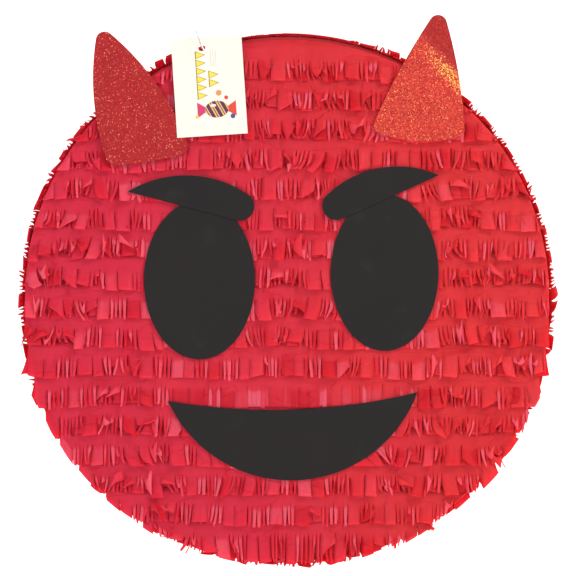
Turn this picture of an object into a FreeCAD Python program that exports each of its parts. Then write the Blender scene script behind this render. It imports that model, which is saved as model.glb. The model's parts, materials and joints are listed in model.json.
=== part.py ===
import FreeCAD, Part
import math
import os
import re
import Sketcher

# A flat round drum pinata that hangs from a hole in its rim.
# Frame: millimetres, +Z up, the face looks towards -Y and +X is the viewer's right.
# The origin is the outer mouth of the hanging hole: the top of the band, halfway through its depth.

SIZES = {
    # drum
    "disc_diameter": 470,
    "drum_depth": 100,
    "board_thickness": 3,
    "tape_thickness": 0.3,
    "edge_tape_width": 14,
    "seam_tape_width": 40,
    # hanging hole and its doubler
    "hanging_hole_radius": 4,
    "hanger_plate_width": 96,
    "hanger_plate_depth": 70,
    "cover_hole_clearance": 2,
    # rows of fringe on the two faces
    "row_count": 17,
    "row_pitch": 26.6,
    "row_lap": 8,
    "row_head_thickness": 1,
    "row_tail_thickness": 3.2,
    "row_clearance": 0.1,
    "first_row_drop": 41.5,
    "cover_overhang": 1.5,
    # rings of fringe round the band
    "side_row_count": 4,
    "side_lap": 8,
    "side_head_thickness": 1.2,
    "side_tail_thickness": 6,
    "side_overhang": 3,
    # door in the back board
    "flap_width": 150,
    "flap_height": 106,
    "flap_top_row": 4,
    "flap_clearance": 0.8,
    "hinge_drop": 1.5,
    "flap_cover_inset": 5,
    "flap_tape_width": 18,
    "flap_tape_inset": 1,
    # card pieces of the face, placed from the middle of the disc
    "card_thickness": 0.8,
    "left_eye_width": 100,
    "left_eye_height": 143,
    "left_eye_offset": 78.8,
    "left_eye_rise": 16.2,
    "right_eye_width": 97,
    "right_eye_height": 141,
    "right_eye_offset": 87.9,
    "right_eye_rise": 22.8,
    "brow_end_radius": 13,
    "brow_crown_turn": 60,
    "brow_bow": 16.5,
    "left_brow_length": 101,
    "left_brow_tip_offset": 143.4,
    "left_brow_tip_rise": 95.6,
    "left_brow_slope": 14.6,
    "right_brow_length": 95,
    "right_brow_tip_offset": 136.6,
    "right_brow_tip_rise": 110.4,
    "right_brow_slope": 24.3,
    "mouth_width": 224.7,
    "mouth_lower_bow": 75.4,
    "mouth_upper_bow": 11.7,
    "mouth_tip_offset": 107.1,
    "mouth_tip_drop": 92.7,
    "mouth_tilt": 2,
    # glitter foam horns
    "horn_thickness": 3,
    "horn_corner_radius": 8,
    "left_horn_width": 74.9,
    "left_horn_height": 126.4,
    "left_horn_tip_reach": 64.3,
    "left_horn_outer_bow": 9,
    "left_horn_inner_bow": 11,
    "left_horn_base_bow": 2.5,
    "left_horn_offset": 86.5,
    "left_horn_rise": 131,
    "left_horn_slope": 8.8,
    "right_horn_width": 84.6,
    "right_horn_height": 117.3,
    "right_horn_tip_reach": 56.2,
    "right_horn_outer_bow": 4.2,
    "right_horn_inner_bow": 3.5,
    "right_horn_base_bow": 7.5,
    "right_horn_offset": 75.5,
    "right_horn_rise": 151,
    "right_horn_slope": 3.4,
    # hang tag, its loop and the anchor that holds the loop in the band
    "tag_width": 63.5,
    "tag_height": 89,
    "tag_thickness": 0.5,
    "tag_hole_radius": 3.2,
    "tag_hole_from_top": 9.5,
    "tag_hole_from_left": 27.25,
    "tag_turn": 3.7,
    "tag_clearance": 0.5,
    "tag_station": 18.8,
    "tag_hole_reach": 2.65,
    "loop_wire_radius": 0.6,
    "loop_bend_radius": 8,
    "loop_front_reach": 2,
    "loop_straight": 12.5,
    "loop_slot_width": 5,
    "anchor_eye_radius": 2.5,
    "anchor_wire_radius": 0.5,
    "anchor_post_radius": 0.4,
    "anchor_bar_length": 10,
    "anchor_bar_clearance": 0.2,
    "anchor_hole_radius": 0.8,
}

# an edge of a flat piece is one of its upright corners when this share of its length is depth
UPRIGHT_SHARE = 0.99

X_AXIS = FreeCAD.Vector(1, 0, 0)
Y_AXIS = FreeCAD.Vector(0, 1, 0)
Z_AXIS = FreeCAD.Vector(0, 0, 1)

doc = FreeCAD.newDocument("pinata")
sheet = doc.addObject("Spreadsheet::Sheet", "sizes")
for line, (alias, value) in enumerate(SIZES.items(), start=1):
    sheet.set("A{}".format(line), str(value))
    sheet.setAlias("A{}".format(line), alias)
doc.recompute()

SHEET_NAMES = {alias: "sizes." + alias for alias in SIZES}
parts = []


# ---------------------------------------------------------------- expressions

def bound(text):
    """An expression in which every named size is read from the sheet."""
    return re.sub("[a-z_]+", lambda word: SHEET_NAMES.get(word[0], word[0]), text)


def number(text):
    """The value of an expression of named sizes, worked out by the document."""
    return float(sheet.evalExpression(bound(text)))


def bind(item, **expressions):
    """Tie properties of one object to the sheet."""
    for name, text in expressions.items():
        item.setExpression(name, bound(text))
    return item


def place(item, x="0", y="0", z="0", rotation=None):
    """Put an object at a place that is worked out from the sheet."""
    if rotation:
        item.Placement.Rotation = rotation
    for name, text in (("x", x), ("y", y), ("z", z)):
        if text != "0":
            item.setExpression("Placement.Base." + name, bound(text))
    return item


def turn(axis, angle):
    return FreeCAD.Rotation(axis, number(angle))


# ---------------------------------------------------------------- building blocks

def part(item, label):
    """Keep an object as one of the finished pieces, under its own name."""
    item.Label = label
    parts.append(item)


def box(length, width, height):
    return bind(doc.addObject("Part::Box", "box"), Length=length, Width=width, Height=height)


def cylinder(radius, height):
    return bind(doc.addObject("Part::Cylinder", "cylinder"), Radius=radius, Height=height)


def cone(base_radius, top_radius, height):
    item = doc.addObject("Part::Cone", "cone")
    return bind(item, Radius1=base_radius, Radius2=top_radius, Height=height)


def torus(ring_radius, wire_radius):
    return bind(doc.addObject("Part::Torus", "torus"), Radius1=ring_radius, Radius2=wire_radius)


def cut(base, *tools):
    """The base with each tool taken out of it in turn."""
    for tool in tools:
        item = doc.addObject("Part::Cut", "cut")
        item.Base = base
        item.Tool = tool
        base = item
    return base


def common(base, tool):
    item = doc.addObject("Part::Common", "common")
    item.Base = base
    item.Tool = tool
    return item


def fuse(*shapes):
    item = doc.addObject("Part::MultiFuse", "fuse")
    item.Shapes = list(shapes)
    return item


def group(*shapes):
    """Separate solids kept together."""
    item = doc.addObject("Part::Compound", "group")
    item.Links = list(shapes)
    return item


# ---------------------------------------------------------------- shared places

RADIUS = "disc_diameter / 2"
INNER_RADIUS = "( disc_diameter / 2 - board_thickness )"
COVER_RADIUS = "( disc_diameter / 2 + cover_overhang )"
CENTRE = "- disc_diameter / 2"
FACE = "drum_depth / 2"
COVER_BASE = "( drum_depth / 2 + tape_thickness )"
COVER_FRONT = "( drum_depth / 2 + tape_thickness + row_tail_thickness )"
BAND_WIDTH = "( drum_depth - 2 * board_thickness )"
ROW_LENGTH = "( row_pitch + row_lap )"
ROW_SLOPE = "( ( row_tail_thickness - row_head_thickness ) / ( row_pitch + row_lap ) )"


def row_foot(index):
    """Height of the cut end of one row of fringe."""
    return "( - first_row_drop - {} * row_pitch )".format(index - 1)


# the door folds just below the cut end of the row above it
HINGE = "( {} - hinge_drop )".format(row_foot(int(number("flap_top_row"))))

# the tag hangs in front of the horns; its loop stands on end across the rim
TAG_BACK = "( {} + horn_thickness + tag_clearance )".format(COVER_FRONT)
TAG_HOLE = "( disc_diameter / 2 + tag_hole_reach )"
LOOP_AXIS = "( disc_diameter / 2 + tag_hole_reach + loop_bend_radius )"
LOOP_FRONT = "( - {} - tag_thickness - loop_front_reach )".format(TAG_BACK)
LOOP_REAR = "( {} + loop_straight )".format(LOOP_FRONT)
EYE_DEPTH = "( {} + loop_bend_radius )".format(LOOP_REAR)
POST_DEPTH = "( {} + anchor_eye_radius )".format(EYE_DEPTH)


def disc(radius, front, thickness):
    """A round plate on the drum's axis, from its front face backwards."""
    item = cylinder(radius, thickness)
    return place(item, y="{} + {}".format(front, thickness), z=CENTRE, rotation=turn(X_AXIS, "90"))


def at_station(item):
    """Turn a piece built with +Z along the radius to the tag's station on the rim."""
    return place(item, z=CENTRE, rotation=turn(Y_AXIS, "- tag_station"))


# ---------------------------------------------------------------- boards and band

def opening(margin, above, inward, outward):
    """The doorway: the door's size with a margin at its sides and foot, and above the fold."""
    width = "( flap_width + 2 * {} )".format(margin)
    item = box(width, "{} + {}".format(inward, outward),
               "flap_height + {} + {}".format(margin, above))
    return place(item, x="- {} / 2".format(width), y="{} - {}".format(FACE, inward),
                 z="{} - flap_height - {}".format(HINGE, margin))


def make_boards():
    part(disc(RADIUS, "- " + FACE, "board_thickness"), "front_board")
    back = disc(RADIUS, FACE + " - board_thickness", "board_thickness")
    doorway = opening("flap_clearance", "0", "board_thickness", "board_thickness")
    part(cut(back, doorway), "back_board")


def hanging_hole(radius):
    """A round hole straight down through the top of the band and of all that lies on it."""
    reach = "( 2 * board_thickness + 2 * side_tail_thickness )"
    return place(cylinder(radius, "2 * " + reach), z="- " + reach)


def bent_sheet(outer, thickness, width, arc, middle):
    """A sheet bent round the drum's axis; middle is its station from +X towards +Z."""
    solid = bind(cylinder(outer, width), Angle=arc)
    ring = cut(solid, cylinder("{} - {}".format(outer, thickness), width))
    start = "{} - ( {} ) / 2".format(middle, arc)
    rotation = turn(Y_AXIS, "- ( {} )".format(start)).multiply(turn(X_AXIS, "90"))
    return place(ring, y="( {} ) / 2".format(width), z=CENTRE, rotation=rotation)


def anchor_hole():
    """A small hole through the band for the anchor's post."""
    pin = cylinder("anchor_hole_radius", "3 * board_thickness")
    return at_station(group(place(pin, y=POST_DEPTH, z=INNER_RADIUS + " - board_thickness")))


def loop_slot():
    """A parting in the cover that leaves the tag's loop free."""
    length = "( {} + side_overhang + {} + anchor_eye_radius )".format(FACE, POST_DEPTH)
    slot = box("loop_slot_width", length, "2 * side_tail_thickness")
    place(slot, x="- loop_slot_width / 2", y="- {} - side_overhang".format(FACE), z=RADIUS)
    return at_station(group(slot))


def make_band():
    """Two strips that meet at the sides, the taped joints and the doubler under the hole."""
    upper = bent_sheet(RADIUS, "board_thickness", BAND_WIDTH, "180", "90")
    part(cut(upper, hanging_hole("hanging_hole_radius"), anchor_hole()), "band_upper")
    part(bent_sheet(RADIUS, "board_thickness", BAND_WIDTH, "180", "270"), "band_lower")
    arc = "{} / ( " + RADIUS + " ) * 180 / pi"
    tapes = [bent_sheet(INNER_RADIUS, "tape_thickness", BAND_WIDTH, arc.format("seam_tape_width"),
                        middle) for middle in ("0", "180")]
    part(group(*tapes), "seam_tapes")
    doubler = bent_sheet(INNER_RADIUS, "board_thickness", "hanger_plate_depth",
                         arc.format("hanger_plate_width"), "90")
    part(cut(doubler, hanging_hole("hanging_hole_radius")), "hanger_plate")


def make_edge_tape(label, flat_front, rim_front):
    """A strip folded over one edge of the drum: a flat ring on the board, a ring on the band."""
    outer = RADIUS + " + tape_thickness"
    flat = cut(disc(outer, flat_front, "tape_thickness"),
               disc(RADIUS + " - edge_tape_width", flat_front, "tape_thickness"))
    rim = cut(disc(outer, rim_front, "edge_tape_width"), disc(RADIUS, rim_front, "edge_tape_width"))
    part(cut(fuse(flat, rim), loop_slot()), label)


# ---------------------------------------------------------------- rows of fringe

def wedge(width, length, foot_inside, foot_outside, head_inside, head_outside):
    """A bar along X whose thickness changes evenly from its foot to its head."""
    item = doc.addObject("Part::Wedge", "wedge")
    half = "( {} ) / 2".format(width)
    return bind(item, Xmin="- " + half, X2min="- " + half, Xmax=half, X2max=half, Ymin="0",
                Ymax=length, Zmin=foot_inside, Zmax=foot_outside, Z2min=head_inside,
                Z2max=head_outside)


def strip(index, facing):
    """One row of fringe, right across the drum, on the front (-1) or the back (+1).

    Its head is glued flat and its tail lies over the next row's head, so from its end it is
    two wedges, thin at the top and thick at the cut foot."""
    width = "2 * " + COVER_RADIUS
    knee = "( row_head_thickness + {} * row_lap )".format(ROW_SLOPE)
    tail_top = "( row_tail_thickness - {} * row_lap )".format(ROW_SLOPE)
    head = wedge(width, "row_pitch", "0", tail_top, "0", "row_head_thickness")
    tail = wedge(width, "row_lap", knee + " + row_clearance", "row_tail_thickness",
                 "row_head_thickness + row_clearance", tail_top)
    rotation = turn(X_AXIS, "90")
    if facing > 0:
        rotation = turn(Z_AXIS, "180").multiply(rotation)
    row = fuse(place(head, y="row_lap"), tail)
    return place(row, y="{} * {}".format(facing, COVER_BASE), z=row_foot(index), rotation=rotation)


def make_face_rows():
    """The rows of both faces, trimmed round, and on the back cut to leave the door's own rows."""
    front_trim = disc(COVER_RADIUS, "- drum_depth", "drum_depth")
    back_trim = disc(COVER_RADIUS, "0", "drum_depth")
    doorway = opening("flap_clearance", "hinge_drop", "board_thickness", "drum_depth")
    door = opening("0", "- flap_cover_inset", "board_thickness", "drum_depth")
    door_top = number(HINGE)
    door_foot = number(HINGE + " - flap_height")
    door_rows = []
    for index in range(1, int(number("row_count")) + 1):
        part(common(strip(index, -1), front_trim), "front_row_{:02d}".format(index))
        back = common(strip(index, +1), back_trim)
        foot = number(row_foot(index))
        head = number(row_foot(index) + " + " + ROW_LENGTH)
        if foot < door_top and head > door_foot:
            back = cut(back, doorway)
            door_rows.append(common(strip(index, +1), door))
        part(back, "back_row_{:02d}".format(index))
    part(group(*door_rows), "flap_rows")


def make_side_rows():
    """Rings of fringe round the band, with their tails towards the face."""
    base = "( {} + tape_thickness )".format(RADIUS)
    lap_room = "( {} + side_head_thickness + row_clearance )".format(base)
    pitch = "( ( drum_depth + side_overhang - side_lap ) / side_row_count )"
    length = "( {} + side_lap )".format(pitch)
    slope = "( ( side_tail_thickness - side_head_thickness ) / {} )".format(length)
    lip = disc(COVER_RADIUS + " + row_clearance", "- {} - side_overhang".format(FACE),
               "side_overhang")
    for index in range(1, int(number("side_row_count")) + 1):
        front = "( - {} - side_overhang + {} * {} )".format(FACE, index - 1, pitch)
        outer = cone(base + " + side_head_thickness", base + " + side_tail_thickness", length)
        under = cone(lap_room, "{} + {} * side_lap".format(lap_room, slope), "side_lap")
        place(outer, y="{} + {}".format(front, length), z=CENTRE, rotation=turn(X_AXIS, "90"))
        place(under, y=front + " + side_lap", z=CENTRE, rotation=turn(X_AXIS, "90"))
        ring = cut(outer, disc(base, front, length), under, lip, loop_slot(),
                   hanging_hole("hanging_hole_radius + cover_hole_clearance"))
        part(ring, "side_row_{}".format(index))


# ---------------------------------------------------------------- door

def make_door():
    """The door folds on its upper edge, on the outer face of the back board."""
    board = box("flap_width", "board_thickness", "flap_height - flap_clearance / 2")
    place(board, x="- flap_width / 2", y=FACE + " - board_thickness", z=HINGE + " - flap_height")
    part(board, "fill_flap")
    for label, level in (("flap_tape_fixed", " + flap_tape_inset"),
                         ("flap_tape_moving", " - flap_tape_inset - flap_tape_width")):
        tape = box("flap_width", "tape_thickness", "flap_tape_width")
        part(place(tape, x="- flap_width / 2", y=FACE, z=HINGE + level), label)


# ---------------------------------------------------------------- flat pieces of the face

def bow_radius(bow, start, end):
    """Radius of the arc that stands off the chord from start to end by a given bow."""
    run = "( {} - ( {} ) )".format(end[0], start[0])
    rise = "( {} - ( {} ) )".format(end[1], start[1])
    chord = "( {0} * {0} + {1} * {1} )".format(run, rise)
    return "( {0} / ( 8 * {1} ) + {1} / 2 )".format(chord, bow)


def arc_side(start, end, radius, outward):
    """The arc between two corners; an outward one bulges to the right of the way it goes."""
    chord = end - start
    bulge = FreeCAD.Vector(chord.y, -chord.x, 0).normalize() * (1 if outward else -1)
    stand_back = math.sqrt(max(radius ** 2 - chord.Length ** 2 / 4, 0))
    circle = Part.Circle((start + end) * 0.5 - bulge * stand_back, Z_AXIS, radius)
    ends = (start, end) if outward else (end, start)
    return Part.ArcOfCircle(circle, *[circle.parameter(point) for point in ends])


def plate(label, corners, sides, thickness):
    """A flat piece that stands in the XZ plane, its outline made of lines and arcs.

    corners are pairs of expressions, counter-clockwise from the origin. Each side is None where
    it is straight, or its radius and whether it bulges outward."""
    body = doc.addObject("PartDesign::Body", label)
    sketch = body.newObject("Sketcher::SketchObject", label + "_outline")
    planes = [plane for plane in body.Origin.OriginFeatures if plane.Role == "XZ_Plane"]
    sketch.AttachmentSupport = [(planes[0], "")]
    sketch.MapMode = "FlatFace"
    points = [FreeCAD.Vector(number(x), number(z), 0) for x, z in corners]
    count = len(corners)
    # which end of each side is its start: an arc always runs counter-clockwise
    first = [1 if side is None or side[1] else 2 for side in sides]
    for index, side in enumerate(sides):
        start, end = points[index], points[(index + 1) % count]
        if side is None:
            sketch.addGeometry(Part.LineSegment(start, end), False)
        else:
            sketch.addGeometry(arc_side(start, end, number(side[0]), side[1]), False)
    for index, corner in enumerate(corners):
        before = (index - 1) % count
        sketch.addConstraint(
            Sketcher.Constraint("Coincident", before, 3 - first[before], index, first[index]))
        for kind, text, axis in (("DistanceX", corner[0], -2), ("DistanceY", corner[1], -1)):
            if text == "0":
                rule = Sketcher.Constraint("PointOnObject", index, first[index], axis)
                sketch.addConstraint(rule)
            else:
                rule = Sketcher.Constraint(kind, -1, 1, index, first[index], number(text))
                constraint = sketch.addConstraint(rule)
                sketch.setExpression("Constraints[{}]".format(constraint), bound(text))
    for index, side in enumerate(sides):
        if side:
            rule = Sketcher.Constraint("Radius", index, number(side[0]))
            constraint = sketch.addConstraint(rule)
            sketch.setExpression("Constraints[{}]".format(constraint), bound(side[0]))
    pad = body.newObject("PartDesign::Pad", label + "_pad")
    pad.Profile = sketch
    bind(pad, Length=thickness)
    doc.recompute()
    return body


def stand(body, x, z, back, thickness, slope, mirrored):
    """Put a flat piece on the face by its first corner; slope raises its far end.

    A mirrored piece is turned over, so that its outline runs towards -X."""
    rotation = turn(Y_AXIS, "- ( {} )".format(slope))
    depth = "- {}".format(back)
    if mirrored:
        rotation = turn(Y_AXIS, slope).multiply(turn(Z_AXIS, "180"))
        depth += " - " + thickness
    return place(body, x=x, y=depth, z="{} + {}".format(CENTRE, z), rotation=rotation)


def make_eye(name, side):
    outline = doc.addObject("Part::Ellipse", name + "_outline")
    bind(outline, MajorRadius=name + "_height / 2", MinorRadius=name + "_width / 2")
    eye = doc.addObject("Part::Extrusion", name)
    eye.Base = outline
    eye.DirMode = "Custom"
    eye.Dir = Z_AXIS
    eye.Solid = True
    bind(eye, LengthFwd="card_thickness")
    # the ellipse's long axis is its own X: it is stood up and faced forward
    upright = turn(X_AXIS, "90").multiply(turn(Z_AXIS, "90"))
    place(eye, x="{} * {}_offset".format(side, name), y="- " + COVER_FRONT,
          z="{} + {}_rise".format(CENTRE, name), rotation=upright)
    part(eye, name)


def make_brow(name, side):
    """A comma: a straight lower edge from the point to a round end, and a bowed upper edge."""
    length = name + "_length"
    crown = (length + " + brow_end_radius * cos(brow_crown_turn)",
             "brow_end_radius + brow_end_radius * sin(brow_crown_turn)")
    corners = [("0", "0"), (length, "0"), crown]
    sides = [None, ("brow_end_radius", True),
             (bow_radius("brow_bow", crown, corners[0]), True)]
    body = plate(name, corners, sides, "card_thickness")
    # the brows are glued over the tops of the eyes, pointed end outwards and high
    stand(body, "{} * {}_tip_offset".format(side, name), name + "_tip_rise",
          "( {} + card_thickness )".format(COVER_FRONT), "card_thickness",
          "- {}_slope".format(name), mirrored=side > 0)
    part(body, name)


def make_mouth():
    """A crescent between two arcs that share its tips."""
    tips = [("0", "0"), ("mouth_width", "0")]
    sides = [(bow_radius("mouth_lower_bow", *tips), True),
             (bow_radius("mouth_upper_bow", *tips), False)]
    body = plate("mouth", tips, sides, "card_thickness")
    stand(body, "- mouth_tip_offset", "- mouth_tip_drop", COVER_FRONT, "card_thickness",
          "mouth_tilt", mirrored=False)
    part(body, "mouth")


def make_horn(name, side, slope):
    """A bowed triangle with rounded corners that stands up past the rim."""
    corners = [("0", "0"), (name + "_width", "0"), (name + "_tip_reach", name + "_height")]
    bows = [name + "_base_bow", name + "_outer_bow", name + "_inner_bow"]
    sides = [(bow_radius(bow, corners[index], corners[(index + 1) % 3]), True)
             for index, bow in enumerate(bows)]
    body = plate(name, corners, sides, "horn_thickness")
    pad = body.Tip
    upright = ["Edge{}".format(count) for count, edge in enumerate(pad.Shape.Edges, start=1)
               if edge.BoundBox.YLength > UPRIGHT_SHARE * edge.Length]
    fillet = body.newObject("PartDesign::Fillet", name + "_corners")
    fillet.Base = (pad, upright)
    bind(fillet, Radius="horn_corner_radius")
    body.Tip = fillet
    stand(body, "{} * {}_offset".format(side, name), name + "_rise", COVER_FRONT,
          "horn_thickness", slope, mirrored=side < 0)
    part(body, name)


# ---------------------------------------------------------------- hang tag

def make_tag():
    """A punched card, turned a little about its hole."""
    card = box("tag_width", "tag_thickness", "tag_height")
    place(card, x="- tag_hole_from_left", z="tag_hole_from_top - tag_height")
    hole = cylinder("tag_hole_radius", "3 * tag_thickness")
    place(hole, y="2 * tag_thickness", rotation=turn(X_AXIS, "90"))
    tag = cut(card, hole)
    place(tag, x="- {} * sin(tag_station)".format(TAG_HOLE),
          y="- {} - tag_thickness".format(TAG_BACK),
          z="{} * cos(tag_station) + {}".format(TAG_HOLE, CENTRE),
          rotation=turn(Y_AXIS, "- tag_turn"))
    part(tag, "hang_tag")


def make_tag_loop():
    """A long ring of plastic wire, through the tag's hole and the anchor's eye."""
    pieces = []
    for level in (TAG_HOLE, TAG_HOLE + " + 2 * loop_bend_radius"):
        leg = cylinder("loop_wire_radius", "loop_straight")
        pieces.append(place(leg, y=LOOP_REAR, z=level, rotation=turn(X_AXIS, "90")))
    down, up = FreeCAD.Vector(0, 0, -1), Z_AXIS
    for depth, start, way in ((LOOP_FRONT, down, -Y_AXIS), (LOOP_REAR, up, Y_AXIS)):
        bend = torus("loop_bend_radius", "loop_wire_radius")
        bend.Angle3 = 180
        rotation = FreeCAD.Rotation(start, way, start.cross(way), "XYZ")
        pieces.append(place(bend, y=depth, z=LOOP_AXIS, rotation=rotation))
    part(at_station(fuse(*pieces)), "tag_loop")


def make_tag_anchor():
    """A cross bar inside the band, a post through it and an eye that holds the loop."""
    bar_level = "( {} - anchor_wire_radius - anchor_bar_clearance )".format(INNER_RADIUS)
    bar = cylinder("anchor_wire_radius", "anchor_bar_length")
    place(bar, x="- anchor_bar_length / 2", y=POST_DEPTH, z=bar_level, rotation=turn(Y_AXIS, "90"))
    # the post is thinner than the bar and the eye, so that its ends run right into them
    post = cylinder("anchor_post_radius", "{} - {}".format(LOOP_AXIS, bar_level))
    place(post, y=POST_DEPTH, z=bar_level)
    eye = torus("anchor_eye_radius", "anchor_wire_radius")
    place(eye, y=EYE_DEPTH, z=LOOP_AXIS)
    part(at_station(fuse(bar, post, eye)), "tag_anchor")


# ---------------------------------------------------------------- the whole object

make_boards()
make_band()
make_edge_tape("front_edge_tape", "- {} - tape_thickness".format(FACE), "- " + FACE)
make_edge_tape("back_edge_tape", FACE, FACE + " - edge_tape_width")
make_face_rows()
make_side_rows()
make_door()
make_eye("left_eye", -1)
make_eye("right_eye", +1)
make_brow("left_brow", -1)
make_brow("right_brow", +1)
make_mouth()
make_horn("left_horn", -1, "- left_horn_slope")
make_horn("right_horn", +1, "- right_horn_slope")
make_tag()
make_tag_loop()
make_tag_anchor()
doc.recompute()

# ---------------------------------------------------------------- checks and export

failed = [item.Name for item in doc.Objects if {"Invalid", "Error"} & set(item.State)]
if failed:
    raise RuntimeError("objects failed to recompute: {}".format(failed))
labels = [item.Label for item in parts]
if len(set(labels)) != len(labels):
    raise RuntimeError("two pieces share a name")
for item in parts:
    if item.Shape.isNull() or not item.Shape.isValid() or item.Shape.Volume <= 0:
        raise RuntimeError("{} has no sound shape".format(item.Label))

os.makedirs("parts", exist_ok=True)
for item in parts:
    item.Shape.exportStep("parts/{}.step".format(item.Label))
    print("{:18s} {:10.1f} mm3 {} solid(s)".format(item.Label, item.Shape.Volume,
                                                   len(item.Shape.Solids)))
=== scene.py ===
import json
import math

import bpy
import numpy as np
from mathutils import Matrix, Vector


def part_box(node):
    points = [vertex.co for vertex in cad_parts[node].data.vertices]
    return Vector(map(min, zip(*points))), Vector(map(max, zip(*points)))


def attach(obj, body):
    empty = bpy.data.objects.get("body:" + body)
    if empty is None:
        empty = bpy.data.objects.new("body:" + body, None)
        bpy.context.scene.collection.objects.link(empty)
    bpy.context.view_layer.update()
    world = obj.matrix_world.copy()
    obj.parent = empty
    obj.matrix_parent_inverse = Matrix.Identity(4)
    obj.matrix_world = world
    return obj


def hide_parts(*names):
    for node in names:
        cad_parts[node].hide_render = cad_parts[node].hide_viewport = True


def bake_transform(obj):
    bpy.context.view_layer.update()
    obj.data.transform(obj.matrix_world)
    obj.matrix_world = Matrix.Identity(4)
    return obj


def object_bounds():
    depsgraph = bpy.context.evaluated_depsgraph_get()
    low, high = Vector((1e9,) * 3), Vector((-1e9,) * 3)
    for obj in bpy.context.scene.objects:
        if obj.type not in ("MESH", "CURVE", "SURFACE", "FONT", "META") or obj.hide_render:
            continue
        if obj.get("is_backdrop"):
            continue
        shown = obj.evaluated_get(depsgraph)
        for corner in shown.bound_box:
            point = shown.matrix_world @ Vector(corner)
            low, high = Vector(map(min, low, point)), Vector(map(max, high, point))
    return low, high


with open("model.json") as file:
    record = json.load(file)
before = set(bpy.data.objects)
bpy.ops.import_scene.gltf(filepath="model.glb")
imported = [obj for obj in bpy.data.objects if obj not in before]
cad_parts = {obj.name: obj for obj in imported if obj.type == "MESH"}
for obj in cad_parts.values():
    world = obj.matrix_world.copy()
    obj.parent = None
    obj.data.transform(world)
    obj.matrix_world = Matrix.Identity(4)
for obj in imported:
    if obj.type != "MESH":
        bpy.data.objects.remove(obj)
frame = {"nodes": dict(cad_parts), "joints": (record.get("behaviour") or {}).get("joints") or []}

bl_info = {
    "name": "Pinata",
    "version": (1, 0, 0),
    "blender": (4, 5, 0),
    "location": "3D View > Sidebar > Pinata",
    "description": "Tissue fringe, card face, glitter horns and hang tag for a round drum pinata",
    "category": "Object",
}

# ---------------------------------------------------------------- places read from the frame

NODES = frame["nodes"]
JOINTS = {joint["name"]: joint for joint in frame["joints"]}
BOARD_LOW, BOARD_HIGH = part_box("front_board")
CENTRE_Z = (BOARD_LOW.z + BOARD_HIGH.z) / 2
FACE_BASE = -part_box("front_edge_tape")[0].y
COVER_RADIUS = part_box("front_row_09")[1].x
BAND_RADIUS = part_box("front_edge_tape")[1].x
DOOR_LOW, DOOR_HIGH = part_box("fill_flap")
DOOR_COVER_LOW, DOOR_COVER_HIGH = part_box("flap_rows")
HINGE_Z = JOINTS["flap_fold"]["pos_m"][2]
TAG_PIVOT = JOINTS["tag_swing"]["pos_m"]
LOOP_PIVOT = JOINTS["tag_lift"]["pos_m"]
LOOP_STATION = math.atan2(LOOP_PIVOT[0], LOOP_PIVOT[2] - CENTRE_Z)
CARD_NODES = ("left_eye", "right_eye", "left_brow", "right_brow", "mouth")
HORN_NODES = ("left_horn", "right_horn")
BOARD_NODES = ("front_board", "back_board", "band_upper", "band_lower", "hanger_plate", "fill_flap")

MM = 0.001

# ---------------------------------------------------------------- how the paper is laid, in metres

# points across a tab, from its tip to the root of the cut, and on to the head; and along a backing
COLUMNS = 4
TAB_LEVELS = 8
HEAD_LEVELS = 3
BACKING_COLUMNS = 90

# points nearer than this are joined
WELD = 1e-7

# a strip's lift at its foot and at its head, on a face and on the band
FACE_REST = (0.0026, 0.0008)
BAND_REST = (3.2 * MM, 0.9 * MM)

# the room a tab has to stand out: on the face, under the tag and a little round it, on the back
# and on the band
FACE_ROOM = 9 * MM
TAG_ROOM = 2.2 * MM
TAG_MARGIN = 6 * MM
BACK_ROOM = 6 * MM
BAND_ROOM = 10 * MM

# how far tabs are held down beside a card, a side of the door, its fold, the hole and the loop
CARD_HOLD = 0.009
DOOR_HOLD = 7 * MM
FOLD_HOLD = 9 * MM
HOLE_HOLD = 8 * MM
LOOP_HOLD = 9 * MM

# what is left open: round the door, the hanging hole and the loop's post
DOOR_GAP = 0.0008
FOLD_GAP = 1.5 * MM
FOLD_CLEARANCE = 0.0028
HANGING_HOLE = 0.0063
LOOP_NOTCH = 0.0045
POST_REACH = 5.5 * MM

# how far tabs hang past the round edge, and how much of the edge strip shows towards the top:
# it begins this high above the drum's middle and is all there after the fade
SPILL = 0.008
# painted shade: the dark edge strip left showing round the top stands in for the shade along the
# top rim
RIM_SHOWN = 0.0035
RIM_START = 0.150
RIM_FADE = 0.060

# the ply under the outer one: how freely it moves, and how much shorter its tabs are
INNER = 0.45
INNER_SHORTER = 2.2 * MM

# no tab is made where less than this is left of a strip's height
SHORTEST = 0.0025

# the waves of a strip's cut edge: height, the two lengths, and the height they need to show
SWAY = 0.9 * MM
SWAY_LENGTHS = (0.031, 0.013)
SWAY_ROOM = 18 * MM

# the tone of each ply, from 0 dark to 1 light; the inner ply and the flat backing are painted
# darker, as painted shade under the outer ply
OUTER_TONE = 0.5
INNER_PAINTED_SHADE = 0.30
BACKING_PAINTED_SHADE = 0.25

# the tape over the door's fold: points along and across, lift, crown, thickness, reach of the bend
TAPE_COLUMNS = 40
TAPE_ROWS = 24
TAPE_LIFT = 0.12 * MM
TAPE_CROWN = 0.06 * MM
TAPE_THICKNESS = 0.15 * MM

# the studio's sweep: half its width, its front edge, where its bend begins, the bend's radius,
# the wall's height, and how far the floor lies under the object
SWEEP_HALF_WIDTH = 8
SWEEP_FRONT = -7.0
SWEEP_BEND_FROM = 5.0
SWEEP_BEND_RADIUS = 1.5
SWEEP_HEIGHT = 6.0
SWEEP_BELOW = 0.06

# the lamps: name, place from the drum's middle, size, power in watts and colour
LAMPS = (("key", (1.3, -1.5, 1.7), 0.7, 34, (1.0, 0.89, 0.77)),
         ("fill", (-1.9, -1.5, 0.0), 1.4, 12, (1.0, 0.83, 1.0)),
         ("low", (-0.4, -1.8, -1.0), 1.4, 3.5, (0.93, 0.92, 1.0)),
         ("back", (0.4, 1.7, 1.6), 1.4, 13, (1.0, 1.0, 1.0)))

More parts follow.
